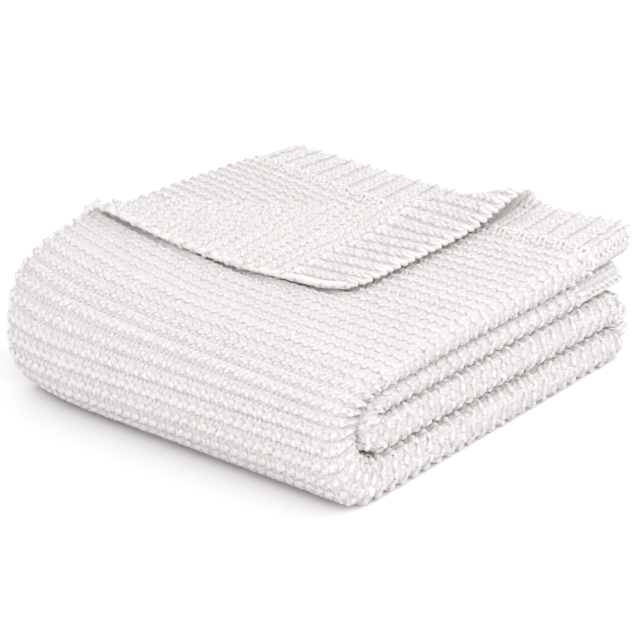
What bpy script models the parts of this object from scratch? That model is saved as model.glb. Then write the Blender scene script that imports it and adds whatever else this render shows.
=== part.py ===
"""Folded chenille knit blanket, one closed solid.

The blanket is modelled as it is knitted: a flat slab of cloth with its cross ridges and
its two ribbed end bands. The slab is then folded the way it is folded by hand.
One corner of the top layer is turned back, the width is folded in three, and the
strip that this makes is folded in half twice. At the end the stack settles.

Cloth coordinates: u runs across the width, v along the length, w out of the cloth's face.
Object coordinates: X along the ridges of the top, Y toward the back, Z up, metres.
"""
import math

import bmesh
import bpy
import numpy as np

MM = 0.001
NAME = "chenille_knit_blanket"
NODE = "knit_blanket"

# The folded stack
STACK_WIDTH = 424 * MM
STACK_DEPTH = 466 * MM
STRIP_PITCH = 38.8 * MM
LAYER_PITCH = 12.5 * MM
SELVEDGE_INSET = 5 * MM
TUCKED_EDGE_INSET = 12 * MM
TOP_END_OVERHANG = 10 * MM
INNER_END_INSET = 14 * MM

# The knitted cloth: garter ridges across the width, and ribs in the band at each end
CLOTH = 9.4 * MM
RELIEF = 2.0 * MM
BAND = 73 * MM
RIB_PITCH = 21.8 * MM
BAND_FADE = 8 * MM
CORNER_ROUNDING = 30 * MM
CORNER_DRAW = 0.3

# The corner of the top layer that is turned back
FLAP_SIDE = 372 * MM
FLAP_END = 330 * MM
FLAP_ROLL_LEFT = 9 * MM
FLAP_ROLL_RIGHT = 12.5 * MM
FLAP_SINK = 75 * MM
FLAP_CLEARANCE = 5 * MM
FLAP_DRAW = 0.87
FLAP_SHEAR = 0.13
FLAP_BENDS = 3
TOP_LAYER_TURN = 45 * MM

# How the stack settles: lifts in millimetres at shares of its height
LEVEL, LIFT, LIFT_TO_BACK, LIFT_TO_RIGHT = range(4)
LEVELS = np.array([
    (0.00, 0.0, 0.0, 0.0),
    (0.25, 1.9, -2.6, 3.0),
    (0.50, 4.5, -2.5, 1.0),
    (0.75, 2.0, -1.5, -9.0),
    (1.00, -5.5, 5.5, -8.7),
    (1.30, -5.5, 5.5, -8.7),
])
FRONT_TOP_SET_BACK = 16.3 * MM
FRONT_BELLY = 2.0 * MM
FRONT_TOP_DROP = 16.2 * MM
LEFT_TOP_RISE = 7.8 * MM
LEFT_FRONT_ROUNDING = 19.6 * MM
CROWN = -10.6 * MM
LEFT_CROWN = 18.0 * MM
BACK_LEAN = 8.5 * MM
BACK_FLARE = 13.2 * MM
SIDE_LEAN = 4.5 * MM
SIDE_FLARE = 7.8 * MM
CENTRE_X = 0.9 * MM
CENTRE_Y = 8.8 * MM

# Mesh steps
ROLL_STEPS = 4
TUCK_STEPS = 2
MID_XS = np.array([-STACK_WIDTH / 4, 0.0])

# Sizes that follow from the above
ROLL_RADIUS = LAYER_PITCH
TUCK_RADIUS = LAYER_PITCH / 2
ROLL_X = STACK_WIDTH / 2 - ROLL_RADIUS - CLOTH / 2
TUCK_X = -STACK_WIDTH / 2 + TUCK_RADIUS + CLOTH / 2
SELVEDGE_X = -STACK_WIDTH / 2 + SELVEDGE_INSET
TUCKED_EDGE_X = ROLL_X - TUCKED_EDGE_INSET
OUTER_RADIUS = 1.5 * STRIP_PITCH
INNER_RADIUS = 0.5 * STRIP_PITCH
HEIGHT = 4 * STRIP_PITCH
FRONT_Y = -STACK_DEPTH / 2 + OUTER_RADIUS + LAYER_PITCH + CLOTH / 2
BACK_Y = STACK_DEPTH / 2 - INNER_RADIUS - LAYER_PITCH - CLOTH / 2
TOP_END_Y = STACK_DEPTH / 2 + TOP_END_OVERHANG
INNER_END_Y = STACK_DEPTH / 2 - INNER_END_INSET
FLOOR = STRIP_PITCH / 2 - LAYER_PITCH - CLOTH / 2 + RELIEF

# Where each stretch of the width ends: top layer, roll, lowest layer, tuck, tucked layer
ACROSS = np.cumsum([
    0.0,
    ROLL_X - SELVEDGE_X,
    math.pi * ROLL_RADIUS,
    ROLL_X - TUCK_X,
    math.pi * TUCK_RADIUS,
    TUCKED_EDGE_X - TUCK_X,
])
# Where each stretch of the length ends: top strip, front wrap, bottom strip, back wrap,
# lower middle strip, inner wrap, upper middle strip
ALONG = np.cumsum([
    0.0,
    TOP_END_Y - FRONT_Y,
    math.pi * OUTER_RADIUS,
    BACK_Y - FRONT_Y,
    math.pi * INNER_RADIUS,
    BACK_Y - FRONT_Y,
    math.pi * INNER_RADIUS,
    INNER_END_Y - FRONT_Y,
])

# Ridges up to the end of each stretch of the length. They lie 16 mm apart where the strip
# is flat, and closer in the wraps, whose outer face is longer than the strip's middle.
RIDGE_ENDS = np.array([BAND, *ALONG[1:-1], ALONG[-1] - BAND])
RIDGES = np.cumsum([0, 20.5, 13.5, 22, 5, 22, 4, 19])
RIDGES_PER_HIDDEN_STEP = (3, 1, 3, 1, 3, 1, 3)


def ease(t):
    """Smooth step: 0 below 0, 1 above 1, level at both ends."""
    t = np.clip(t, 0.0, 1.0)
    return t * t * (3.0 - 2.0 * t)


def through_levels(share, column):
    """Smooth curve through one column of the table of levels."""
    xs = LEVELS[:, LEVEL]
    ys = LEVELS[:, column] * MM
    slope = np.gradient(ys, xs)
    i = np.clip(np.searchsorted(xs, share) - 1, 0, len(xs) - 2)
    gap = xs[i + 1] - xs[i]
    t = np.clip((share - xs[i]) / gap, 0.0, 1.0)
    start = (1 + 2 * t) * (1 - t) ** 2 * ys[i] + t * (1 - t) ** 2 * gap * slope[i]
    end = t * t * (3 - 2 * t) * ys[i + 1] + t * t * (t - 1) * gap * slope[i + 1]
    return start + end


def relief_depth(u, v, side):
    """Depth of the knit below the ridge tops.

    Between the bands it is a wave along v, half a step later on the cloth's other side.
    In the band that shows it is a wave along u instead, and the hidden band is plain.
    """
    shift = 0.25 * (1 - side)
    ridge = 0.5 - 0.5 * np.cos(2 * math.pi * (np.interp(v, RIDGE_ENDS, RIDGES) + shift))
    rib = 0.5 - 0.5 * np.cos(2 * math.pi * (u / RIB_PITCH - 0.25 + shift))
    in_band = 1.0 - ease((v - BAND) / BAND_FADE)
    in_hidden_band = 1.0 - ease((ALONG[-1] - v - BAND) / BAND_FADE)
    return RELIEF * (rib * in_band + ridge * (1.0 - in_band - in_hidden_band))


def round_corners(u, v):
    """Draws the cloth's four corners in toward its middle."""
    for u_edge, u_inward in ((0.0, 1), (ACROSS[-1], -1)):
        for v_edge, v_inward in ((0.0, 1), (ALONG[-1], -1)):
            near_u = np.clip(1 - u_inward * (u - u_edge) / CORNER_ROUNDING, 0, 1)
            near_v = np.clip(1 - v_inward * (v - v_edge) / CORNER_ROUNDING, 0, 1)
            draw = CORNER_DRAW * CORNER_ROUNDING * near_u * near_v
            u = u + u_inward * draw
            v = v + v_inward * draw
    return u, v


def turn_corner_back(u, v, w):
    """Turns the corner at u = 0, v = 0 back over a straight crease.

    Past the crease the cloth follows half a circle, whose radius grows along the crease,
    and then lies on the top layer, sinking onto it and drawn a little toward the crease.
    """
    size = math.hypot(FLAP_SIDE, FLAP_END)
    past = (u * -FLAP_SIDE + (v - FLAP_SIDE) * -FLAP_END) / size
    share = (u * FLAP_END - (v - FLAP_SIDE) * FLAP_SIDE) / size ** 2
    radius = FLAP_ROLL_LEFT + (FLAP_ROLL_RIGHT - FLAP_ROLL_LEFT) * ease(share)
    turn = np.clip(past / radius, 0.0, math.pi)
    back = np.maximum(past - math.pi * radius, 0.0)
    sink = (2 * radius - CLOTH - FLAP_CLEARANCE) * ease(back / FLAP_SINK)
    out = (radius - w) * np.sin(turn) - FLAP_DRAW * back
    along = share * size - FLAP_SHEAR * back
    new_u = (along * FLAP_END - out * FLAP_SIDE) / size
    new_v = FLAP_SIDE - (along * FLAP_SIDE + out * FLAP_END) / size
    new_w = radius - (radius - w) * np.cos(turn) - sink
    turned = (u < ACROSS[1]) & (v < ALONG[1]) & (past > 0)
    return (np.where(turned, new_u, u), np.where(turned, new_v, v), np.where(turned, new_w, w))


def fold_in_three(u, w):
    """Folds the width: top layer, roll on the right, lowest layer, tuck on the left,
    tucked layer. Gives x, and the height above the middle of the three layers."""
    roll = np.clip((u - ACROSS[1]) / ROLL_RADIUS, 0.0, math.pi)
    tuck = np.clip((u - ACROSS[3]) / TUCK_RADIUS, 0.0, math.pi)
    stretch = [u < end for end in ACROSS[1:-1]]
    x = np.select(stretch, [
        SELVEDGE_X + u,
        ROLL_X + (ROLL_RADIUS + w) * np.sin(roll),
        ROLL_X - (u - ACROSS[2]),
        TUCK_X - (TUCK_RADIUS + w) * np.sin(tuck),
    ], TUCK_X + (u - ACROSS[4]))
    height = np.select(stretch, [
        ROLL_RADIUS + w,
        (ROLL_RADIUS + w) * np.cos(roll),
        -ROLL_RADIUS - w,
        -TUCK_RADIUS - (TUCK_RADIUS + w) * np.cos(tuck),
    ], w)
    return x, height


def fold_in_half_twice(v, height):
    """Carries the three-layer strip along its path: back along the top, round the front,
    back along the bottom, and then round and back between the two. Gives y and z."""
    front_turn = np.clip((v - ALONG[1]) / OUTER_RADIUS, 0.0, math.pi)
    back_turn = np.clip((v - ALONG[3]) / INNER_RADIUS, 0.0, math.pi)
    inner_turn = np.clip((v - ALONG[5]) / INNER_RADIUS, 0.0, math.pi)
    stretch = [v < end for end in ALONG[1:-1]]
    y = np.select(stretch, [
        TOP_END_Y - v,
        FRONT_Y - (OUTER_RADIUS + height) * np.sin(front_turn),
        FRONT_Y + (v - ALONG[2]),
        BACK_Y + (INNER_RADIUS + height) * np.sin(back_turn),
        BACK_Y - (v - ALONG[4]),
        FRONT_Y - (INNER_RADIUS - height) * np.sin(inner_turn),
    ], FRONT_Y + (v - ALONG[6]))
    z = np.select(stretch, [
        3.5 * STRIP_PITCH + height,
        2 * STRIP_PITCH + (OUTER_RADIUS + height) * np.cos(front_turn),
        0.5 * STRIP_PITCH - height,
        STRIP_PITCH - (INNER_RADIUS + height) * np.cos(back_turn),
        1.5 * STRIP_PITCH + height,
        2 * STRIP_PITCH - (INNER_RADIUS - height) * np.cos(inner_turn),
    ], 2.5 * STRIP_PITCH - height)
    return y, z


def turn_top_layer(u, v, y):
    """Turns the top layer a little, so that its free side lies further forward."""
    turn = TOP_LAYER_TURN * (1 - u / ACROSS[1]) * np.clip(1 - v / ALONG[1], 0.0, 1.0)
    return np.where((u < ACROSS[1]) & (v < ALONG[1]), y - turn, y)


def settle(x, y, z):
    """Lets the stack sag and lean, and presses its bottom flat on the surface."""
    z = z - FLOOR
    side = x / (STACK_WIDTH / 2)
    depth = y / (STACK_DEPTH / 2)
    share = z / HEIGHT
    front = ease(-depth)
    back = ease(depth)
    left = ease(-side)
    tilt = 2 * share - 1
    top = np.clip(share, 0.0, 1.0) ** 2
    lift = through_levels(share, LIFT)
    lift = lift + through_levels(share, LIFT_TO_BACK) * depth
    lift = lift + through_levels(share, LIFT_TO_RIGHT) * side
    lift = lift + (CROWN + LEFT_CROWN * left) * (1 - depth ** 2) * top
    lift = lift + (LEFT_TOP_RISE * left - FRONT_TOP_DROP * front) * top
    corner = np.clip(-2 * side - 1, 0.0, None) ** 2
    y_shift = front * (FRONT_TOP_SET_BACK * tilt + FRONT_BELLY * (1 - tilt ** 2))
    y_shift = y_shift + front * LEFT_FRONT_ROUNDING * corner
    y_shift = y_shift - back * (BACK_LEAN * tilt - BACK_FLARE * side)
    x_shift = SIDE_FLARE * depth - SIDE_LEAN * tilt
    return x + x_shift - CENTRE_X, y + y_shift - CENTRE_Y, np.maximum(z + lift, 0.0)


def place(u, v, w):
    """Takes points of the flat cloth to their places in the folded stack."""
    u, v = round_corners(u, v)
    u, v, w = turn_corner_back(u, v, w)
    x, height = fold_in_three(u, w)
    y, z = fold_in_half_twice(v, height)
    y = turn_top_layer(u, v, y)
    return settle(x, y, z)


def column_stations():
    """Lines along the length: two in each flat layer, and steps round the two folds."""
    top = MID_XS - SELVEDGE_X
    lowest = ACROSS[2] + ROLL_X - MID_XS
    tucked = ACROSS[4] + MID_XS - TUCK_X
    roll = np.linspace(ACROSS[1], ACROSS[2], ROLL_STEPS + 1)
    tuck = np.linspace(ACROSS[3], ACROSS[4], TUCK_STEPS + 1)
    edges = [ACROSS[0], ACROSS[5]]
    return np.unique(np.concatenate([edges, top, roll, lowest, tuck, tucked]).round(7))


def row_stations():
    """Lines right across the width: one for each ridge in the wraps, wider apart between,
    and the two ends."""
    spans = zip(RIDGES[:-1], RIDGES[1:], RIDGES_PER_HIDDEN_STEP)
    counts = np.concatenate([np.arange(start, end, step) for start, end, step in spans])
    rows = np.interp(counts, RIDGES, RIDGE_ENDS)
    return np.concatenate([[0.0], rows, [RIDGE_ENDS[-1], ALONG[-1]]]).round(7)


def cut_faces(bm, faces, point, normal):
    """Adds a straight line of edges to some of the flat cloth's faces."""
    geometry = set(faces)
    for face in faces:
        geometry.update(face.edges)
        geometry.update(face.verts)
    bmesh.ops.bisect_plane(bm, geom=list(geometry), dist=1e-6, plane_co=point, plane_no=normal)


def shows(u, v):
    """Whether the cloth shows there once it is folded: at its two folds, on its top layer
    as far as the back wrap, and on the tucked layer of the top strip."""
    in_folds = ACROSS[1] < u < ACROSS[2] or ACROSS[3] < u < ACROSS[4]
    on_top = u < ACROSS[1] and v < ALONG[4]
    on_tucked = u > ACROSS[4] and v < ALONG[1]
    return in_folds or on_top or on_tucked


def cut_ridges(bm):
    """Ridges where the cloth shows: a line at each ridge top and each hollow."""
    lines = np.interp(np.arange(0.5, RIDGES[-1], 0.5), RIDGES, RIDGE_ENDS).round(7)
    for station in sorted(set(lines) - set(row_stations())):
        faces = []
        for face in bm.faces:
            centre = face.calc_center_median()
            if abs(centre.y - station) < BAND and shows(centre.x, centre.y):
                faces.append(face)
        cut_faces(bm, faces, (0.0, station, 0.0), (0.0, 1.0, 0.0))


def cut_ribs(bm):
    """Ribs of the band that shows, on the top strip: a line at each rib top and hollow."""
    for station in np.arange(RIB_PITCH / 4, ACROSS[-1], RIB_PITCH / 2):
        faces = []
        for face in bm.faces:
            centre = face.calc_center_median()
            if centre.y < BAND and shows(centre.x, centre.y):
                faces.append(face)
        cut_faces(bm, faces, (station, 0.0, 0.0), (1.0, 0.0, 0.0))


def cut_bends(bm):
    """Bend lines of the turned corner: round its roll, and where it sinks."""
    size = math.hypot(FLAP_SIDE, FLAP_END)
    normal = (-FLAP_SIDE / size, -FLAP_END / size, 0.0)
    roll = math.pi * (FLAP_ROLL_LEFT + FLAP_ROLL_RIGHT) / 2
    bends = [roll * k / FLAP_BENDS for k in range(FLAP_BENDS + 1)]
    bends += [roll + FLAP_SINK / 2, roll + FLAP_SINK]
    for past in bends:
        point = (normal[0] * past, FLAP_SIDE + normal[1] * past, 0.0)
        faces = []
        for face in bm.faces:
            centre = face.calc_center_median()
            if centre.x < ACROSS[1] and centre.y < ALONG[1]:
                faces.append(face)
        cut_faces(bm, faces, point, normal)


def flat_cloth():
    """The flat slab: a grid on the stations, cut for ribs and bends, given thickness."""
    columns = column_stations()
    rows = row_stations()
    bm = bmesh.new()
    bmesh.ops.create_grid(bm, x_segments=len(columns) - 1, y_segments=len(rows) - 1, size=0.5)
    for vert in bm.verts:
        vert.co.x = columns[round((vert.co.x + 0.5) * (len(columns) - 1))]
        vert.co.y = rows[round((vert.co.y + 0.5) * (len(rows) - 1))]
    cut_ridges(bm)
    cut_ribs(bm)
    cut_bends(bm)
    bmesh.ops.triangulate(bm, faces=bm.faces[:])
    face_verts = bm.verts[:]
    extruded = bmesh.ops.extrude_face_region(bm, geom=bm.faces[:], use_keep_orig=True)
    for item in extruded["geom"]:
        if isinstance(item, bmesh.types.BMVert):
            item.co.z = -1.0
    for vert in face_verts:
        vert.co.z = 1.0
    bmesh.ops.recalc_face_normals(bm, faces=bm.faces[:])
    bmesh.ops.triangulate(bm, faces=bm.faces[:])
    # Folding takes v to -Y, which mirrors the cloth, so its faces are turned over here
    bmesh.ops.reverse_faces(bm, faces=bm.faces[:])
    return bm


def fold_mesh(mesh):
    """Moves the slab's points from the flat cloth to the folded stack."""
    points = np.empty(len(mesh.vertices) * 3)
    mesh.vertices.foreach_get("co", points)
    u, v, side = points.reshape(-1, 3).T
    side = np.sign(side)
    w = side * (CLOTH / 2 - relief_depth(u, v, side))
    folded = np.column_stack(place(u, v, w))
    mesh.vertices.foreach_set("co", folded.ravel())
    mesh.update()


def chenille_material():
    """Warm white chenille yarn."""
    material = bpy.data.materials.new("chenille_yarn")
    material.use_nodes = True
    shader = material.node_tree.nodes["Principled BSDF"]
    shader.inputs["Base Color"].default_value = (0.80, 0.77, 0.755, 1.0)
    shader.inputs["Roughness"].default_value = 0.95
    shader.inputs["Metallic"].default_value = 0.0
    return material


def build():
    """Clears the scene and adds the folded blanket to its own collection."""
    for old in list(bpy.data.objects):
        bpy.data.objects.remove(old)
    bm = flat_cloth()
    mesh = bpy.data.meshes.new(NODE)
    bm.to_mesh(mesh)
    bm.free()
    fold_mesh(mesh)
    mesh.materials.append(chenille_material())
    blanket = bpy.data.objects.new(NODE, mesh)
    collection = bpy.data.collections.new(NAME)
    bpy.context.scene.collection.children.link(collection)
    collection.objects.link(blanket)


build()
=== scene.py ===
"""Folded chenille knit blanket, dressed with its yarn.

The blanket is worked out as it is knitted: row after row of looped yarn in the flat cloth,
each row a tube, over one closed cloth with the same ridges. The same steps that fold the
frame's slab then carry every point to its place. One corner of the top layer is turned back,
the width is folded in three, the strip is folded in half twice, and the stack settles.

Cloth coordinates: u runs across the width, v along the length, w out of the cloth's outer
face. Object coordinates: X along the ridges of the top, Y toward the back, Z up. Metres.
"""
import math

import bpy
import numpy as np
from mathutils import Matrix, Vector


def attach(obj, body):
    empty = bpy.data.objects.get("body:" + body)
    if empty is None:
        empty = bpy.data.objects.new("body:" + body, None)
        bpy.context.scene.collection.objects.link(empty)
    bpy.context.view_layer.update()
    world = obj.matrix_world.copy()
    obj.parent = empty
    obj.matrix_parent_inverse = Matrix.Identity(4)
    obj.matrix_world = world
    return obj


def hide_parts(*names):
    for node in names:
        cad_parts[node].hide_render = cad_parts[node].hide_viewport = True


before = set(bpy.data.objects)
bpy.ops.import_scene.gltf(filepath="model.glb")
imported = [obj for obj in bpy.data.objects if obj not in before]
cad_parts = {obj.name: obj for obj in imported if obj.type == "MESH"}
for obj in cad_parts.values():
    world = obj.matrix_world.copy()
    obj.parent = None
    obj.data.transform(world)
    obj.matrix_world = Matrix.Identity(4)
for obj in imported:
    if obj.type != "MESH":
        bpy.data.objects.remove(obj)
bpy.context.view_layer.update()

bl_info = {
    "name": "Folded Chenille Knit Blanket",
    "version": (1, 0, 0),
    "blender": (4, 5, 0),
    "location": "View3D > Sidebar > Knit Blanket",
    "description": "Knits the yarn of a folded blanket round its frame and sets up its studio",
    "category": "Object",
}

MM = 0.001
NODE = "knit_blanket"
BODY = "root"

# The folded stack, with the sizes of its frame
STACK_WIDTH = 424 * MM
STACK_DEPTH = 466 * MM
STRIP_PITCH = 38.8 * MM
LAYER_PITCH = 12.5 * MM
SELVEDGE_INSET = 5 * MM
TUCKED_EDGE_INSET = 12 * MM
TOP_END_OVERHANG = 10 * MM
INNER_END_INSET = 14 * MM

# The knitted cloth
CLOTH = 9.4 * MM
RELIEF = 2.0 * MM
BAND = 73 * MM
BAND_FADE = 8 * MM
CORNER_ROUNDING = 30 * MM
CORNER_DRAW = 0.3

# The corner of the top layer that is turned back
FLAP_SIDE = 372 * MM
FLAP_END = 330 * MM
FLAP_ROLL_LEFT = 8 * MM
FLAP_ROLL_RIGHT = 11 * MM
FLAP_SINK = 75 * MM
FLAP_CLEARANCE = 2.5 * MM
FLAP_DRAW = 0.84
FLAP_SHEAR = 0.13
TOP_LAYER_TURN = 45 * MM

# How the stack settles: lifts in millimetres at shares of its height
LEVEL, LIFT, LIFT_TO_BACK, LIFT_TO_RIGHT = range(4)
LEVELS = np.array([
    (0.00, 0.0, 0.0, 0.0),
    (0.25, 1.9, -2.6, 3.0),
    (0.50, 4.5, -2.5, 1.0),
    (0.75, 2.0, -1.5, -9.0),
    (1.00, -5.5, 5.5, -8.7),
    (1.30, -5.5, 5.5, -8.7),
])
FRONT_TOP_SET_BACK = 16.3 * MM
FRONT_BELLY = 2.0 * MM
FRONT_TOP_DROP = 16.2 * MM
LEFT_TOP_RISE = 7.8 * MM
LEFT_FRONT_ROUNDING = 19.6 * MM
CROWN = -10.6 * MM
LEFT_CROWN = 18.0 * MM
BACK_LEAN = 8.5 * MM
BACK_FLARE = 13.2 * MM
SIDE_LEAN = 4.5 * MM
SIDE_FLARE = 7.8 * MM
CENTRE_X = 0.9 * MM
CENTRE_Y = 8.8 * MM

# How square the layers' rolls are pressed, how far the layers fill the stack's gaps, and
# how softly the bottom meets the floor
ROLL_SQUARENESS = 0.35
FILL = 1.11
FLOOR_SOFTNESS = 1.2 * MM

# Sizes that follow from the above
ROLL_RADIUS = LAYER_PITCH
TUCK_RADIUS = LAYER_PITCH / 2
ROLL_X = STACK_WIDTH / 2 - ROLL_RADIUS - CLOTH / 2
TUCK_X = -STACK_WIDTH / 2 + TUCK_RADIUS + CLOTH / 2
SELVEDGE_X = -STACK_WIDTH / 2 + SELVEDGE_INSET
TUCKED_EDGE_X = ROLL_X - TUCKED_EDGE_INSET
OUTER_RADIUS = 1.5 * STRIP_PITCH
INNER_RADIUS = 0.5 * STRIP_PITCH
HEIGHT = 4 * STRIP_PITCH
FRONT_Y = -STACK_DEPTH / 2 + OUTER_RADIUS + LAYER_PITCH + CLOTH / 2
BACK_Y = STACK_DEPTH / 2 - INNER_RADIUS - LAYER_PITCH - CLOTH / 2
TOP_END_Y = STACK_DEPTH / 2 + TOP_END_OVERHANG
INNER_END_Y = STACK_DEPTH / 2 - INNER_END_INSET
FLOOR = STRIP_PITCH / 2 - (LAYER_PITCH + CLOTH / 2 - RELIEF) * FILL

# Where each stretch of the width ends: top layer, roll, lowest layer, tuck, tucked layer
ACROSS = np.cumsum([
    0.0,
    ROLL_X - SELVEDGE_X,
    math.pi * ROLL_RADIUS,
    ROLL_X - TUCK_X,
    math.pi * TUCK_RADIUS,
    TUCKED_EDGE_X - TUCK_X,
])
# Where each stretch of the length ends: top strip, front wrap, bottom strip, back wrap,
# lower middle strip, inner wrap, upper middle strip
ALONG = np.cumsum([
    0.0,
    TOP_END_Y - FRONT_Y,
    math.pi * OUTER_RADIUS,
    BACK_Y - FRONT_Y,
    math.pi * INNER_RADIUS,
    BACK_Y - FRONT_Y,
    math.pi * INNER_RADIUS,
    INNER_END_Y - FRONT_Y,
])

# Garter ridges up to the end of each stretch, closer together in the wraps
RIDGE_ENDS = np.array([BAND, *ALONG[1:-1], ALONG[-1] - BAND])
RIDGES = np.cumsum([0, 20.5, 13.5, 22, 5, 22, 4, 19])

# The knitting: stitches across, and rows along, two of them for each garter ridge. From row
# to row the garter loops shift by up to LOOP_SHIFT stitches.
SEED = 11
LOOP_SHIFT = 0.16
STITCHES = 114
STITCH = ACROSS[-1] / STITCHES
BAND_ROWS = 9
GARTER_ROWS = 2 * round(RIDGES[-1])
BAND_V = (np.arange(BAND_ROWS) + 0.5) * BAND / BAND_ROWS
GARTER_V = np.interp((np.arange(GARTER_ROWS) + 0.5) / 2, RIDGES, RIDGE_ENDS)
ROW_V = np.concatenate([BAND_V, GARTER_V, ALONG[-1] - BAND_V[::-1]])
ROW_PITCH = np.gradient(ROW_V)
ROWS = len(ROW_V)
ROW_IS_BAND = (ROW_V < BAND) | (ROW_V > ALONG[-1] - BAND)
ROW_FACE = np.where(np.arange(ROWS) % 2 == BAND_ROWS % 2, -1.0, 1.0)
RANDOM = np.random.default_rng(SEED)
SLACK = RANDOM.uniform(-1.0, 1.0, (4, ROWS, STITCHES + 2))
LOOP_SHIFTS = RANDOM.uniform(-LOOP_SHIFT, LOOP_SHIFT, ROWS)
ROW_WANDER = np.where(ROW_IS_BAND, 0.0, np.cumsum(LOOP_SHIFTS))

# Stitch counts where the yarn pieces meet, and how far the yarn goes on past what shows
ROLL_START = 35.5
ROLL_END = 42.5
TUCK_START = 75.5
TUCK_END = 80.5
WRAP_MARGIN = 22 * MM
SELVEDGE_STITCHES = 3
END_ROWS = 3
TUCKED_MARGIN = 30 * MM

# How finely the yarn is divided: steps for each stitch or row, and sides round a tube
YARN_STEPS = 8
YARN_SIDES = 6
UNDERSIDE_STEPS = 6
UNDERSIDE_SIDES = 4
EDGE_STEPS = 4
EDGE_SIDES = 8

# How finely the cloth is divided: steps in each stretch of the width, and steps for each
# ridge in each stretch of the length
CLOTH_STEPS = (38, 9, 6, 7, 16)
CLOTH_RIDGE_STEPS = (6, 6, 4, 6, 4, 4, 4)

# How round the soft ropes of the cloth behind the yarn are: 2 is a parabola
ROPE_POWER = 1.8

# The chenille's finish: noise in cycles for each metre, the height of what it raises, and
# how much the fibres change the tone
DRIFT_SCALE = 38.0
TUFT_SCALE = 420.0
TUFT_HEIGHT = 2.2 * MM
FIBRE_SCALE = 1100.0
FIBRE_HEIGHT = 1.1 * MM
FIBRE_TONE = 0.8

# The studio: where the camera aims, and the floor and lights in metres
AIM = Vector((-0.9, -8.8, 55.8)) * MM
CAMERA_SHIFT = (0.0089, 0.0097)
SENSOR_WIDTH = 36.0
FLOOR_SIZE = 12.0
LIGHT_SIZE = 1.2
FRONT_LIGHT_PLACE = Vector((0.8, -1.35, 1.5))
BACK_LIGHT_PLACE = Vector((1.0, 1.2, 1.5))


def ease(t):
    """Smooth step: 3t^2 - 2t^3 between 0 and 1, level outside."""
    t = np.clip(t, 0.0, 1.0)
    return t * t * (3.0 - 2.0 * t)


def through_levels(share, column):
    """Cubic Hermite curve through one column of the table of levels."""
    xs = LEVELS[:, LEVEL]
    ys = LEVELS[:, column] * MM
    slope = np.gradient(ys, xs)
    i = np.clip(np.searchsorted(xs, share) - 1, 0, len(xs) - 2)
    gap = xs[i + 1] - xs[i]
    t = np.clip((share - xs[i]) / gap, 0.0, 1.0)
    start = (1 + 2 * t) * (1 - t) ** 2 * ys[i] + t * (1 - t) ** 2 * gap * slope[i]
    end = t * t * (3 - 2 * t) * ys[i + 1] + t * t * (t - 1) * gap * slope[i + 1]
    return start + end


def round_corners(u, v):
    """Draws the cloth's four corners in: each by a share of its nearness to both edges."""
    for u_edge, u_inward in ((0.0, 1), (ACROSS[-1], -1)):
        for v_edge, v_inward in ((0.0, 1), (ALONG[-1], -1)):
            near_u = np.clip(1 - u_inward * (u - u_edge) / CORNER_ROUNDING, 0, 1)
            near_v = np.clip(1 - v_inward * (v - v_edge) / CORNER_ROUNDING, 0, 1)
            draw = CORNER_DRAW * CORNER_ROUNDING * near_u * near_v
            u = u + u_inward * draw
            v = v + v_inward * draw
    return u, v


def turn_corner_back(u, v, w):
    """Turns the corner at u = 0, v = 0 back over a straight crease.

    Past the crease the cloth follows half a circle, whose radius grows along the crease,
    and then lies on the top layer, sinking onto it and drawn a little toward the crease.
    """
    size = math.hypot(FLAP_SIDE, FLAP_END)
    past = (u * -FLAP_SIDE + (v - FLAP_SIDE) * -FLAP_END) / size
    share = (u * FLAP_END - (v - FLAP_SIDE) * FLAP_SIDE) / size ** 2
    radius = FLAP_ROLL_LEFT + (FLAP_ROLL_RIGHT - FLAP_ROLL_LEFT) * ease(share)
    turn = np.clip(past / radius, 0.0, math.pi)
    back = np.maximum(past - math.pi * radius, 0.0)
    sink = (2 * radius - CLOTH - FLAP_CLEARANCE) * ease(back / FLAP_SINK)
    out = (radius - w) * np.sin(turn) - FLAP_DRAW * back
    along = share * size - FLAP_SHEAR * back
    new_u = (along * FLAP_END - out * FLAP_SIDE) / size
    new_v = FLAP_SIDE - (along * FLAP_SIDE + out * FLAP_END) / size
    new_w = radius - (radius - w) * np.cos(turn) - sink
    turned = (u < ACROSS[1]) & (v < ALONG[1]) & (past > 0)
    return (np.where(turned, new_u, u), np.where(turned, new_v, v), np.where(turned, new_w, w))


def fold_in_three(u, w):
    """Folds the width: straight top layer, half circle, straight lowest layer, small half
    circle, straight tucked layer. Gives x, and the height above the middle of the three.

    The large half circle is pressed a little square: its height is cos a (1 + q sin^2 a).
    """
    roll = np.clip((u - ACROSS[1]) / ROLL_RADIUS, 0.0, math.pi)
    tuck = np.clip((u - ACROSS[3]) / TUCK_RADIUS, 0.0, math.pi)
    stretch = [u < end for end in ACROSS[1:-1]]
    x = np.select(stretch, [
        SELVEDGE_X + u,
        ROLL_X + (ROLL_RADIUS + w) * np.sin(roll),
        ROLL_X - (u - ACROSS[2]),
        TUCK_X - (TUCK_RADIUS + w) * np.sin(tuck),
    ], TUCK_X + (u - ACROSS[4]))
    height = FILL * np.select(stretch, [
        ROLL_RADIUS + w,
        (ROLL_RADIUS + w) * np.cos(roll) * (1 + ROLL_SQUARENESS * np.sin(roll) ** 2),
        -ROLL_RADIUS - w,
        -TUCK_RADIUS - (TUCK_RADIUS + w) * np.cos(tuck),
    ], w)
    return x, height


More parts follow.
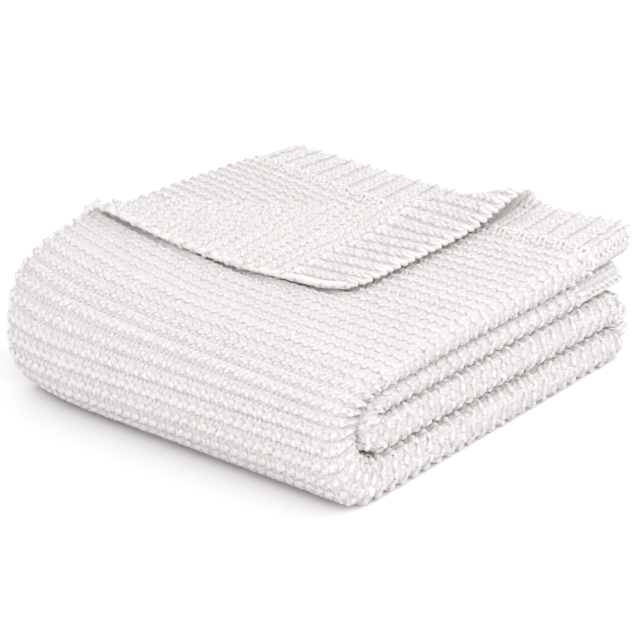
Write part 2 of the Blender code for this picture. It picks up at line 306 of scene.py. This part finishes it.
def fold_in_half_twice(v, height):
    """Carries the strip along its path of straights and half circles: back along the top,
    round the front, back along the bottom, and round and back between. Gives y and z.
    """
    front_turn = np.clip((v - ALONG[1]) / OUTER_RADIUS, 0.0, math.pi)
    back_turn = np.clip((v - ALONG[3]) / INNER_RADIUS, 0.0, math.pi)
    inner_turn = np.clip((v - ALONG[5]) / INNER_RADIUS, 0.0, math.pi)
    stretch = [v < end for end in ALONG[1:-1]]
    y = np.select(stretch, [
        TOP_END_Y - v,
        FRONT_Y - (OUTER_RADIUS + height) * np.sin(front_turn),
        FRONT_Y + (v - ALONG[2]),
        BACK_Y + (INNER_RADIUS + height) * np.sin(back_turn),
        BACK_Y - (v - ALONG[4]),
        FRONT_Y - (INNER_RADIUS - height) * np.sin(inner_turn),
    ], FRONT_Y + (v - ALONG[6]))
    z = np.select(stretch, [
        3.5 * STRIP_PITCH + height,
        2 * STRIP_PITCH + (OUTER_RADIUS + height) * np.cos(front_turn),
        0.5 * STRIP_PITCH - height,
        STRIP_PITCH - (INNER_RADIUS + height) * np.cos(back_turn),
        1.5 * STRIP_PITCH + height,
        2 * STRIP_PITCH - (INNER_RADIUS - height) * np.cos(inner_turn),
    ], 2.5 * STRIP_PITCH - height)
    return y, z


def turn_top_layer(u, v, y):
    """Turns the top layer a little: a shift in y that grows toward its free corner."""
    turn = TOP_LAYER_TURN * (1 - u / ACROSS[1]) * np.clip(1 - v / ALONG[1], 0.0, 1.0)
    return np.where((u < ACROSS[1]) & (v < ALONG[1]), y - turn, y)


def settle(x, y, z):
    """Lets the stack sag and lean, by lifts and shifts that are products of smooth steps
    and powers of a point's place in the stack, and presses its bottom flat: with a softness
    s, z becomes s ln(1 + exp(z / s)).
    """
    z = z - FLOOR
    side = x / (STACK_WIDTH / 2)
    depth = y / (STACK_DEPTH / 2)
    share = z / HEIGHT
    front = ease(-depth)
    back = ease(depth)
    left = ease(-side)
    tilt = 2 * share - 1
    top = np.clip(share, 0.0, 1.0) ** 2
    lift = through_levels(share, LIFT)
    lift = lift + through_levels(share, LIFT_TO_BACK) * depth
    lift = lift + through_levels(share, LIFT_TO_RIGHT) * side
    lift = lift + (CROWN + LEFT_CROWN * left) * (1 - depth ** 2) * top
    lift = lift + (LEFT_TOP_RISE * left - FRONT_TOP_DROP * front) * top
    corner = np.clip(-2 * side - 1, 0.0, None) ** 2
    y_shift = front * (FRONT_TOP_SET_BACK * tilt + FRONT_BELLY * (1 - tilt ** 2))
    y_shift = y_shift + front * LEFT_FRONT_ROUNDING * corner
    y_shift = y_shift - back * (BACK_LEAN * tilt - BACK_FLARE * side)
    x_shift = SIDE_FLARE * depth - SIDE_LEAN * tilt
    pressed = FLOOR_SOFTNESS * np.logaddexp(0.0, (z + lift) / FLOOR_SOFTNESS)
    return x + x_shift - CENTRE_X, y + y_shift - CENTRE_Y, pressed


def place(u, v, w):
    """Takes points of the flat cloth to their places in the folded stack, step by step."""
    u, v = round_corners(u, v)
    u, v, w = turn_corner_back(u, v, w)
    x, height = fold_in_three(u, w)
    y, z = fold_in_half_twice(v, height)
    y = turn_top_layer(u, v, y)
    return np.stack(settle(x, y, z), axis=-1)


def slack(kind, rows, stitch):
    """Unevenness from -1 to 1: random at each stitch of each row, straight in between."""
    low = np.clip(np.floor(stitch).astype(int), 0, STITCHES)
    part = stitch - low
    return SLACK[kind, rows, low] * (1 - part) + SLACK[kind, rows, low + 1] * part


def looped_row(yarn, rows, stitch):
    """Centre line of the yarn in some rows, as u, v, w at a count of stitches.

    With t one turn for each stitch, the rise is tanh(-k cos t) / tanh k, a wave with level
    tops. v is the row plus the loop height times the rise, and u is the stitch count plus a
    lean of sin 2t, so that loop heads and feet are broader than the legs. In a garter row w
    is depth times the rise: the head shows on one face and the feet on the other, and the
    next row is the other way round. The loops of one garter row wander against those of the
    row before. In a rib row w is a wave of two stitches, with the legs of the loops on top
    of it, and the legs are spread by a sine of t.
    """
    in_band = ROW_IS_BAND[rows]
    turn = 2 * math.pi * (stitch + ROW_WANDER[rows])
    rise = np.tanh(-yarn.loop_squareness * np.cos(turn)) / math.tanh(yarn.loop_squareness)
    reach = np.where(in_band, yarn.rib_loop_height, yarn.loop_height) * ROW_PITCH[rows]
    height = reach * (1 + yarn.unevenness * slack(0, rows, stitch))
    depth = 1 + yarn.unevenness * slack(1, rows, stitch)
    drift = yarn.unevenness * STITCH * slack(2, rows, stitch)
    spread = np.where(in_band, yarn.rib_spread, 0.0) * np.sin(turn)
    u = STITCH * (stitch + yarn.loop_lean * np.sin(2 * turn) - spread) + drift
    v = ROW_V[rows] + height * rise
    wale = np.sin(math.pi * stitch)
    rib = wale * (yarn.rib_depth - yarn.rib_leg_depth * np.cos(2 * turn))
    garter = ROW_FACE[rows] * yarn.loop_depth * rise
    w = depth * np.where(in_band, rib, garter)
    return np.stack([u, v, w], axis=-1)


def unit(vectors):
    """Vectors divided by their own lengths."""
    return vectors / np.linalg.norm(vectors, axis=-1, keepdims=True)


def yarn_tubes(yarn, rows, first, last, steps, sides):
    """Tubes of some rows between two stitch counts, folded into place.

    Round each point of the centre line runs an oval, wide along the cloth and a little
    flatter across it: point + width cos a * side + thickness sin a * out.
    """
    stitch = first + np.arange(round((last - first) * steps) + 1) / steps
    rows = rows[:, None]
    line = looped_row(yarn, rows, stitch[None, :])
    along = unit(np.gradient(line, axis=1))
    side = unit(np.cross(along, (0.0, 0.0, 1.0)))
    out = np.cross(side, along)
    swell = 1 + yarn.unevenness * slack(3, rows, stitch[None, :])
    swell = swell[:, :, None, None]
    plumpness = np.where(ROW_IS_BAND[rows], 0.0, yarn.plumpness)
    flare = 1 + plumpness * np.cos(4 * math.pi * (stitch[None, :] + ROW_WANDER[rows]))
    width = np.where(ROW_IS_BAND[rows], yarn.rib_width, yarn.width) * flare
    angle = 2 * math.pi * np.arange(sides) / sides
    wide = width[:, :, None, None] / 2 * np.cos(angle)[:, None] * side[:, :, None]
    thick = yarn.thickness / 2 * np.sin(angle)[:, None] * out[:, :, None]
    ring = line[:, :, None] + swell * (wide + thick)
    return place(ring[..., 0], ring[..., 1], ring[..., 2])


def tube_faces(count, length, sides):
    """Corner numbers of the walls and of the two end caps of a number of like tubes."""
    index = np.arange(count * length * sides).reshape(count, length, sides)
    after = np.roll(index, -1, axis=2)
    walls = np.stack([index[:, :-1], index[:, 1:], after[:, 1:], after[:, :-1]], axis=-1)
    caps = np.concatenate([index[:, 0], index[:, -1, ::-1]])
    return walls.reshape(-1, 4), caps


class Shell:
    """Points and faces gathered for one mesh."""

    def __init__(self):
        self.points = []
        self.corners = []
        self.counts = []
        self.size = 0

    def add(self, points, *faces):
        """Adds points with one or more arrays of like faces."""
        self.points.append(points.reshape(-1, 3))
        for block in faces:
            self.corners.append(block.ravel() + self.size)
            self.counts.append(np.full(len(block), block.shape[1]))
        self.size += points.size // 3

    def object(self, name, material):
        """Makes the mesh object, smooth, and gives it to the body and its finish."""
        counts = np.concatenate(self.counts).astype(np.int32)
        corners = np.concatenate(self.corners).astype(np.int32)
        mesh = bpy.data.meshes.new(name)
        mesh.vertices.add(self.size)
        mesh.vertices.foreach_set("co", np.concatenate(self.points).astype(np.float32).ravel())
        mesh.loops.add(len(corners))
        mesh.loops.foreach_set("vertex_index", corners)
        mesh.polygons.add(len(counts))
        mesh.polygons.foreach_set("loop_start", np.cumsum(counts, dtype=np.int32) - counts)
        mesh.update(calc_edges=True)
        mesh.shade_smooth()
        mesh.materials.append(material)
        piece = bpy.data.objects.new(name, mesh)
        bpy.context.scene.collection.objects.link(piece)
        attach(piece, BODY)
        return piece


def knit_piece(context, name, spans, steps, sides):
    """One mesh of yarn tubes. spans holds rows, and the first and last stitch of each."""
    yarn = context.scene.blanket_yarn
    shell = Shell()
    for rows, first, last in spans:
        points = yarn_tubes(yarn, np.asarray(rows), first, last, steps, sides)
        shell.add(points, *tube_faces(*points.shape[:2], sides))
    shell.object(name, chenille_material(context))


def edge_cord(context):
    """The edge that the turning rows make: one cord along the side where u is 0.

    Round each place v along the edge runs a circle: u = r / 2 + s cos a, w = s sin a, where
    r is the cord's radius and s is r with a cosine added, one wave for each row.
    """
    yarn = context.scene.blanket_yarn
    rows = np.interp(np.arange(0, RIDGES[-1], 1 / EDGE_STEPS), RIDGES, RIDGE_ENDS)
    band = np.linspace(0.0, BAND, BAND_ROWS * EDGE_STEPS // 2 + 1)
    v = np.concatenate([band[:-1], rows, ALONG[-1] - band[::-1]])[None, :, None]
    angle = 2 * math.pi * np.arange(EDGE_SIDES) / EDGE_SIDES
    swell = 1 + yarn.unevenness * np.cos(4 * math.pi * np.interp(v, RIDGE_ENDS, RIDGES))
    radius = yarn.edge_width / 2 * swell
    u = yarn.edge_width / 4 + radius * np.cos(angle)
    w = radius * np.sin(angle)
    points = place(*np.broadcast_arrays(u, v, w))
    shell = Shell()
    shell.add(points, *tube_faces(*points.shape[:2], EDGE_SIDES))
    shell.object("yarn_edge", chenille_material(context))


def rows_between(start, end):
    """Numbers of the rows that lie between two places along the length."""
    return np.flatnonzero((ROW_V >= start) & (ROW_V < end))


def tucked_reach(v):
    """How far the tucked layer shows past the turned corner, as a count of stitches."""
    showing = FLAP_END * (1 - v / FLAP_SIDE) + TUCKED_MARGIN
    return (ACROSS[4] + np.maximum(showing, 0.0)) / STITCH


def yarn_spans():
    """The yarn pieces and the rows and stitches that each covers."""
    top = rows_between(BAND, ALONG[1])
    front = rows_between(ALONG[1], ALONG[2] + WRAP_MARGIN)
    below = rows_between(ALONG[2] + WRAP_MARGIN, ALONG[3] - WRAP_MARGIN)
    back = rows_between(ALONG[3] - WRAP_MARGIN, ALONG[4] + WRAP_MARGIN)
    inner = rows_between(ALONG[4] + WRAP_MARGIN, ALONG[-1])
    folded = rows_between(ALONG[2] + WRAP_MARGIN, ALONG[-1])
    all_but_top = rows_between(ALONG[1], ALONG[-1])
    last = np.arange(ROWS - END_ROWS, ROWS)
    tucked = [([row], TUCK_START, tucked_reach(ROW_V[row])) for row in top]
    return {
        "yarn_end_band": [(np.arange(BAND_ROWS), 0, STITCHES)],
        "yarn_top_layer": [(top, 0, ROLL_END)],
        "yarn_front_wrap": [(front, 0, ROLL_END)],
        "yarn_right_rolls": [(folded, ROLL_START, ROLL_END)],
        "yarn_left_folds": [(all_but_top, TUCK_START, TUCK_END)],
        "yarn_tucked_layer": tucked,
        "yarn_back_wrap": [(back, 0, ROLL_START)],
        "yarn_underside": [(below, 0, ROLL_START)],
        "yarn_selvedge": [(inner, 0, SELVEDGE_STITCHES)],
        "yarn_inner_end": [
            (last, SELVEDGE_STITCHES, ROLL_START),
            (last, ROLL_END, TUCK_START),
            (last, TUCK_END, STITCHES),
        ],
    }


def knit(context, *names):
    """Knits the named yarn pieces at full detail."""
    spans = yarn_spans()
    for name in names:
        knit_piece(context, name, spans[name], YARN_STEPS, YARN_SIDES)


def add_node(tree, kind, location, **values):
    """Adds a shader node and sets its properties and its inputs by name."""
    node = tree.nodes.new(kind)
    node.location = location
    for name, value in values.items():
        if name in node.bl_rna.properties:
            setattr(node, name, value)
        else:
            node.inputs[name.replace("_", " ")].default_value = value
    return node


def chenille_material(context):
    """Off-white chenille: a matt, sheeny pile that varies slowly in tone, with tufts and
    fibres raised by noise of two sizes.
    """
    name = "chenille_yarn_finish"
    if name in bpy.data.materials:
        return bpy.data.materials[name]
    colours = context.scene.blanket_colours
    material = bpy.data.materials.new(name)
    material.use_nodes = True
    tree = material.node_tree
    shader = tree.nodes["Principled BSDF"]
    shader.inputs["Roughness"].default_value = 0.92
    shader.inputs["Sheen Weight"].default_value = 0.25
    shader.inputs["Sheen Roughness"].default_value = 0.6
    shader.inputs["Specular IOR Level"].default_value = 0.2
    shader.inputs["Subsurface Weight"].default_value = 0.4
    shader.inputs["Subsurface Radius"].default_value = (1.0, 0.9, 0.85)
    shader.inputs["Subsurface Scale"].default_value = 0.004
    place_in_cloth = add_node(tree, "ShaderNodeTexCoord", (-1200, 0))
    drift = add_node(tree, "ShaderNodeTexNoise", (-900, 200), Scale=DRIFT_SCALE, Detail=3.0)
    fibres = add_node(tree, "ShaderNodeTexNoise", (-900, -100), Scale=FIBRE_SCALE, Detail=2.0)
    tufts = add_node(tree, "ShaderNodeTexNoise", (-900, -400), Scale=TUFT_SCALE, Detail=2.0)
    for noise in (drift, fibres, tufts):
        tree.links.new(place_in_cloth.outputs["Object"], noise.inputs["Vector"])
    tone = add_node(tree, "ShaderNodeMix", (-500, 200), data_type="RGBA")
    tone.inputs["A"].default_value = (*colours.yarn_shade, 1.0)
    tone.inputs["B"].default_value = (*colours.yarn_light, 1.0)
    speckle = add_node(tree, "ShaderNodeMath", (-700, -100), operation="MULTIPLY_ADD")
    speckle.inputs[1].default_value = FIBRE_TONE
    speckle.inputs[2].default_value = -FIBRE_TONE / 2
    blend = add_node(tree, "ShaderNodeMath", (-700, 100), operation="ADD")
    tree.links.new(fibres.outputs["Fac"], speckle.inputs[0])
    tree.links.new(drift.outputs["Fac"], blend.inputs[0])
    tree.links.new(speckle.outputs[0], blend.inputs[1])
    tree.links.new(blend.outputs[0], tone.inputs["Factor"])
    tree.links.new(tone.outputs["Result"], shader.inputs["Base Color"])
    coarse = add_node(
        tree, "ShaderNodeBump", (-450, -250), Strength=0.9, Distance=TUFT_HEIGHT)
    fine = add_node(
        tree, "ShaderNodeBump", (-250, -250), Strength=0.8, Distance=FIBRE_HEIGHT)
    tree.links.new(tufts.outputs["Fac"], coarse.inputs["Height"])
    tree.links.new(fibres.outputs["Fac"], fine.inputs["Height"])
    tree.links.new(coarse.outputs["Normal"], fine.inputs["Normal"])
    tree.links.new(fine.outputs["Normal"], shader.inputs["Normal"])
    return material


def yarn_cover(u, v):
    """How much the yarn pieces cover the cloth there: 1 where they do, 0 where they don't,
    with smooth steps between.
    """

    def span(value, start, end, soft):
        return ease((value - start) / soft) * ease((end - value) / soft)

    soft = STITCH
    beyond = 10 * STITCH
    roll = span(u, ROLL_START * STITCH, ROLL_END * STITCH, soft)
    tuck = span(u, TUCK_START * STITCH, TUCK_END * STITCH, soft)
    top_layer = span(u, -beyond, ROLL_END * STITCH, soft)
    to_wrap = span(v, -beyond, ALONG[4] + WRAP_MARGIN, soft)
    tucked = span(u, TUCK_START * STITCH, tucked_reach(v) * STITCH, soft)
    on_top = span(v, -beyond, ALONG[1] + soft, soft)
    band = span(v, -beyond, BAND, soft)
    selvedge = span(u, -beyond, SELVEDGE_STITCHES * STITCH, soft)
    end = span(v, ROW_V[-END_ROWS - 1], ALONG[-1] + beyond, soft)
    covers = [roll, tuck, top_layer * to_wrap, tucked * on_top, band, selvedge, end]
    return np.max(np.broadcast_arrays(*covers), axis=0)


def backing_face(yarn, u, v, side):
    """Height w of one face of the cloth behind the yarn.

    Where yarn covers it, the face is a row of soft ropes, one a ridge: a rope's height
    falls with a power of the distance from its middle, and the ropes of the other face lie
    half a ridge later. The grooves are shallower round the rolls. In the bands the cloth is
    thin and level. Elsewhere it is the whole cloth, with its ridges a cosine wave cut into
    each face.
    """
    phase = np.interp(v, RIDGE_ENDS, RIDGES) + 0.25 * (1 - side)
    garter = ease((v - BAND) / BAND_FADE) * ease((ALONG[-1] - BAND - v) / BAND_FADE)
    rope = 1 - np.abs(2 * (phase - np.round(phase))) ** ROPE_POWER
    roll = ease(u / STITCH - ROLL_START) * ease(ROLL_END - u / STITCH)
    groove = yarn.groove_height + (yarn.roll_groove_height - yarn.groove_height) * roll
    height = groove + (yarn.rope_height - groove) * rope
    covered = yarn.band_backing / 2 + (height - yarn.band_backing / 2) * garter
    whole = CLOTH / 2 - RELIEF * (0.5 - 0.5 * np.cos(2 * math.pi * phase))
    cover = yarn_cover(u, v)
    return side * (covered * cover + whole * (1 - cover))


def backing_stations():
    """Lines of the backing: close in the folds and across the top, wider elsewhere. Columns
    are rounded to a ten-thousandth of a millimetre, so that shared ends are one.
    """
    parts = [
        np.linspace(start, end, steps + 1)
        for start, end, steps in zip(ACROSS, ACROSS[1:], CLOTH_STEPS)
    ]
    columns = np.unique(np.concatenate(parts).round(7))
    counts = [
        np.arange(start, end, 1 / steps)
        for start, end, steps in zip(RIDGES, RIDGES[1:], CLOTH_RIDGE_STEPS)
    ]
    rows = np.interp(np.concatenate(counts), RIDGES, RIDGE_ENDS)
    first = np.linspace(0.0, BAND, 2 * BAND_ROWS + 1)[:-1]
    last = np.linspace(ALONG[-1] - BAND, ALONG[-1], BAND_ROWS + 1)
    return columns, np.concatenate([first, rows, last])


def make_backing(context):
    """The whole cloth as one closed sheet: two faces on a grid, joined at the edge, which
    lies a quarter of the yarn's width inside the cloth's own.
    """
    yarn = context.scene.blanket_yarn
    columns, rows = backing_stations()
    inset = yarn.width / 4
    u = np.interp(columns, (0.0, ACROSS[-1]), (inset, ACROSS[-1] - inset))[:, None]
    v = np.interp(rows, (0.0, ALONG[-1]), (inset, ALONG[-1] - inset))[None, :]
    u, v = np.broadcast_arrays(u, v)
    faces = [place(u, v, backing_face(yarn, u, v, side)) for side in (1, -1)]
    points = np.stack(faces)
    index = np.arange(points.size // 3).reshape(2, *u.shape)
    quads = np.stack([
        index[:, :-1, :-1], index[:, :-1, 1:], index[:, 1:, 1:], index[:, 1:, :-1],
    ], -1)
    rim = np.concatenate([
        index[:, :-1, 0], index[:, -1, :-1], index[:, :0:-1, -1], index[:, 0, :0:-1],
    ], axis=1)
    walls = np.stack([rim[0], rim[1], np.roll(rim[1], -1), np.roll(rim[0], -1)], -1)
    corners = np.concatenate([
        quads[0].reshape(-1, 4), quads[1].reshape(-1, 4)[:, ::-1], walls[:, ::-1],
    ])
    shell = Shell()
    shell.add(points, corners)
    return shell.object("knit_cloth", chenille_material(context))


def make_floor(context):
    """A plain pale floor under the blanket."""
    bpy.ops.mesh.primitive_plane_add(size=FLOOR_SIZE)
    floor = context.active_object
    floor.name = "floor"
    material = bpy.data.materials.new("pale_floor")
    material.use_nodes = True
    shader = material.node_tree.nodes["Principled BSDF"]
    shader.inputs["Base Color"].default_value = (*context.scene.blanket_colours.floor, 1.0)
    shader.inputs["Roughness"].default_value = 0.9
    floor.data.materials.append(material)


def add_area_light(name, location, power):
    """A large square light that faces the blanket."""
    data = bpy.data.lights.new(name, "AREA")
    data.size = LIGHT_SIZE
    data.energy = power
    light = bpy.data.objects.new(name, data)
    light.location = location
    light.rotation_euler = (AIM - light.location).to_track_quat("-Z", "Y").to_euler()
    bpy.context.scene.collection.objects.link(light)


def make_lights(context):
    """Even light from all round, a large soft light in front and another behind, and
    colours shown without a film curve.
    """
    studio = context.scene.blanket_studio
    world = bpy.data.worlds.new("studio")
    world.use_nodes = True
    sky = world.node_tree.nodes["Background"]
    sky.inputs["Color"].default_value = (1.0, 1.0, 1.0, 1.0)
    sky.inputs["Strength"].default_value = studio.world_strength
    context.scene.world = world
    add_area_light("front_light", FRONT_LIGHT_PLACE, studio.front_power)
    add_area_light("back_light", BACK_LIGHT_PLACE, studio.back_power)
    context.scene.view_settings.view_transform = "Standard"


def make_camera(context):
    """The camera at the photograph's angle, aimed at the middle of the blanket."""
    studio = context.scene.blanket_studio
    level = math.cos(studio.elevation)
    back = Vector((
        math.sin(studio.azimuth) * level,
        -math.cos(studio.azimuth) * level,
        math.sin(studio.elevation),
    ))
    data = bpy.data.cameras.new("camera")
    data.lens = studio.lens
    data.sensor_width = SENSOR_WIDTH
    data.shift_x, data.shift_y = CAMERA_SHIFT
    camera = bpy.data.objects.new("camera", data)
    camera.location = AIM + back * studio.distance
    camera.rotation_euler = (-back).to_track_quat("-Z", "Y").to_euler()
    context.scene.collection.objects.link(camera)
    context.scene.camera = camera


class YarnSettings(bpy.types.PropertyGroup):
    """Sizes of the yarn and of its loops."""

    width: bpy.props.FloatProperty(
        name="Yarn width", description="Width of the yarn along the cloth",
        default=5.6 * MM, unit="LENGTH")
    thickness: bpy.props.FloatProperty(
        name="Yarn thickness", description="Thickness of the yarn across the cloth",
        default=4.5 * MM, unit="LENGTH")
    plumpness: bpy.props.FloatProperty(
        name="Plumpness", description="How much wider heads and feet are than the yarn",
        default=0.25, subtype="FACTOR", min=0.0, max=0.5)
    loop_height: bpy.props.FloatProperty(
        name="Loop height", description="Half the height of a loop, as a share of a row",
        default=0.64)
    rib_width: bpy.props.FloatProperty(
        name="Rib yarn width", description="Width of the yarn in the end bands",
        default=6.8 * MM, unit="LENGTH")
    rib_spread: bpy.props.FloatProperty(
        name="Rib spread", description="How far a rib's loops open, as a share of a stitch",
        default=0.12)
    rib_loop_height: bpy.props.FloatProperty(
        name="Rib loop height", description="Half the height of a rib's loop, as a share of a row",
        default=0.92)
    loop_squareness: bpy.props.FloatProperty(
        name="Loop squareness", description="How level the heads and feet of loops are",
        default=1.0, min=0.1)
    loop_lean: bpy.props.FloatProperty(
        name="Loop lean", description="How far loops bulge sideways, as a share of a stitch",
        default=0.10)
    loop_depth: bpy.props.FloatProperty(
        name="Loop depth", description="How far a garter loop comes out of the middle",
        default=3.3 * MM, unit="LENGTH")
    rib_depth: bpy.props.FloatProperty(
        name="Rib depth", description="How far a rib of the end band stands out",
        default=1.5 * MM, unit="LENGTH")
    rib_leg_depth: bpy.props.FloatProperty(
        name="Rib leg depth", description="How far the legs of a rib's loops stand out",
        default=0.5 * MM, unit="LENGTH")
    unevenness: bpy.props.FloatProperty(
        name="Unevenness", description="How much loops differ from each other",
        default=0.07, subtype="FACTOR", min=0.0, max=0.5)
    edge_width: bpy.props.FloatProperty(
        name="Edge width", description="Width of the cord along the cloth's side edge",
        default=7.0 * MM, unit="LENGTH")
    rope_height: bpy.props.FloatProperty(
        name="Rope height", description="Height of the soft rope inside each garter ridge",
        default=3.8 * MM, unit="LENGTH")
    groove_height: bpy.props.FloatProperty(
        name="Groove height", description="Height of the cloth between two ridges",
        default=-2.8 * MM, unit="LENGTH")
    roll_groove_height: bpy.props.FloatProperty(
        name="Roll groove height", description="Height between two ridges round the rolls",
        default=-1.4 * MM, unit="LENGTH")
    band_backing: bpy.props.FloatProperty(
        name="Band backing", description="Thickness of the cloth behind the end bands",
        default=0.6 * MM, unit="LENGTH")


class ColourSettings(bpy.types.PropertyGroup):
    """Colours of the yarn and the studio."""

    yarn_light: bpy.props.FloatVectorProperty(
        name="Yarn light", description="Lighter tone of the yarn",
        default=(0.965, 0.915, 0.905), subtype="COLOR", min=0.0, max=1.0)
    yarn_shade: bpy.props.FloatVectorProperty(
        name="Yarn shade", description="Darker tone of the yarn",
        default=(0.905, 0.855, 0.845), subtype="COLOR", min=0.0, max=1.0)
    floor: bpy.props.FloatVectorProperty(
        name="Floor", description="Colour of the pale floor",
        default=(0.97, 0.97, 0.97), subtype="COLOR", min=0.0, max=1.0)


class StudioSettings(bpy.types.PropertyGroup):
    """The camera's place and the strength of the lights."""

    azimuth: bpy.props.FloatProperty(
        name="Azimuth", description="Camera angle round the blanket, from the front",
        default=math.radians(38.11), subtype="ANGLE")
    elevation: bpy.props.FloatProperty(
        name="Elevation", description="Camera angle above the floor",
        default=math.radians(23.17), subtype="ANGLE")
    distance: bpy.props.FloatProperty(
        name="Distance", description="Distance from the camera to its aim",
        default=1.9, unit="LENGTH")
    lens: bpy.props.FloatProperty(
        name="Lens", description="Focal length of the camera in millimetres",
        default=106.7)
    world_strength: bpy.props.FloatProperty(
        name="Surrounding light", description="Strength of the even light from all round",
        default=0.96)
    front_power: bpy.props.FloatProperty(
        name="Front light", description="Power of the large soft light in front, in watts",
        default=11.0, subtype="POWER")
    back_power: bpy.props.FloatProperty(
        name="Back light", description="Power of the large soft light behind, in watts",
        default=10.5, subtype="POWER")


class BLANKET_OT_backing(bpy.types.Operator):
    """Make the whole cloth behind the yarn, which stands for the frame's slab"""

    bl_idname = "blanket.backing"
    bl_label = "Backing Cloth"

    def execute(self, context):
        piece = make_backing(context)
        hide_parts(NODE)
        return {"FINISHED"}


class BLANKET_OT_top(bpy.types.Operator):
    """Knit the top layer, its turned corner and the end band"""

    bl_idname = "blanket.top"
    bl_label = "Top Layer and Band"

    def execute(self, context):
        knit(context, "yarn_end_band", "yarn_top_layer", "yarn_tucked_layer")
        return {"FINISHED"}


class BLANKET_OT_wraps(bpy.types.Operator):
    """Knit the front wrap and the back wrap of the strip"""

    bl_idname = "blanket.wraps"
    bl_label = "Front and Back Wraps"

    def execute(self, context):
        knit(context, "yarn_front_wrap", "yarn_back_wrap")
        return {"FINISHED"}


class BLANKET_OT_sides(bpy.types.Operator):
    """Knit the rolled folds on the right, the tucked folds on the left, and the edges"""

    bl_idname = "blanket.sides"
    bl_label = "Side Folds and Edges"

    def execute(self, context):
        knit(context, "yarn_right_rolls", "yarn_left_folds", "yarn_selvedge", "yarn_inner_end")
        edge_cord(context)
        return {"FINISHED"}


class BLANKET_OT_underside(bpy.types.Operator):
    """Knit the underside with fewer faces"""

    bl_idname = "blanket.underside"
    bl_label = "Underside"

    def execute(self, context):
        name = "yarn_underside"
        knit_piece(context, name, yarn_spans()[name], UNDERSIDE_STEPS, UNDERSIDE_SIDES)
        return {"FINISHED"}


class BLANKET_OT_declare(bpy.types.Operator):
    """Takes no step: the cloth's flat size and its yarn are not stated here"""

    bl_idname = "blanket.declare"
    bl_label = "Cloth Size"

    def execute(self, context):
        return {"FINISHED"}


class BLANKET_OT_stage(bpy.types.Operator):
    """Set up the pale floor, the soft lights and the camera"""

    bl_idname = "blanket.stage"
    bl_label = "Studio"

    def execute(self, context):
        make_floor(context)
        make_lights(context)
        make_camera(context)
        return {"FINISHED"}


OPERATORS = (
    BLANKET_OT_backing,
    BLANKET_OT_top,
    BLANKET_OT_wraps,
    BLANKET_OT_sides,
    BLANKET_OT_underside,
    BLANKET_OT_declare,
    BLANKET_OT_stage,
)


class BLANKET_PT_panel(bpy.types.Panel):
    """Lists the steps that make the blanket, with their sizes and colours"""

    bl_idname = "BLANKET_PT_panel"
    bl_label = "Knit Blanket"
    bl_space_type = "VIEW_3D"
    bl_region_type = "UI"
    bl_category = "Knit Blanket"

    def draw(self, context):
        for name in SETTINGS:
            box = self.layout.box()
            group = getattr(context.scene, name)
            for key in group.__annotations__:
                box.prop(group, key)
        for operator in OPERATORS:
            self.layout.operator(operator.bl_idname)


SETTINGS = {
    "blanket_yarn": YarnSettings,
    "blanket_colours": ColourSettings,
    "blanket_studio": StudioSettings,
}


def register():
    """Registers the settings, the operators and the panel."""
    for name, group in SETTINGS.items():
        bpy.utils.register_class(group)
        setattr(bpy.types.Scene, name, bpy.props.PointerProperty(type=group))
    for cls in (*OPERATORS, BLANKET_PT_panel):
        bpy.utils.register_class(cls)


def unregister():
    """Takes away all that register added."""
    for cls in (BLANKET_PT_panel, *reversed(OPERATORS)):
        bpy.utils.unregister_class(cls)
    for name, group in SETTINGS.items():
        delattr(bpy.types.Scene, name)
        bpy.utils.unregister_class(group)


def main():
    register()
    bpy.ops.blanket.backing()
    bpy.ops.blanket.top()
    bpy.ops.blanket.wraps()
    bpy.ops.blanket.sides()
    bpy.ops.blanket.underside()
    bpy.ops.blanket.declare()
    bpy.ops.blanket.stage()


if __name__ == "__main__":
    main()
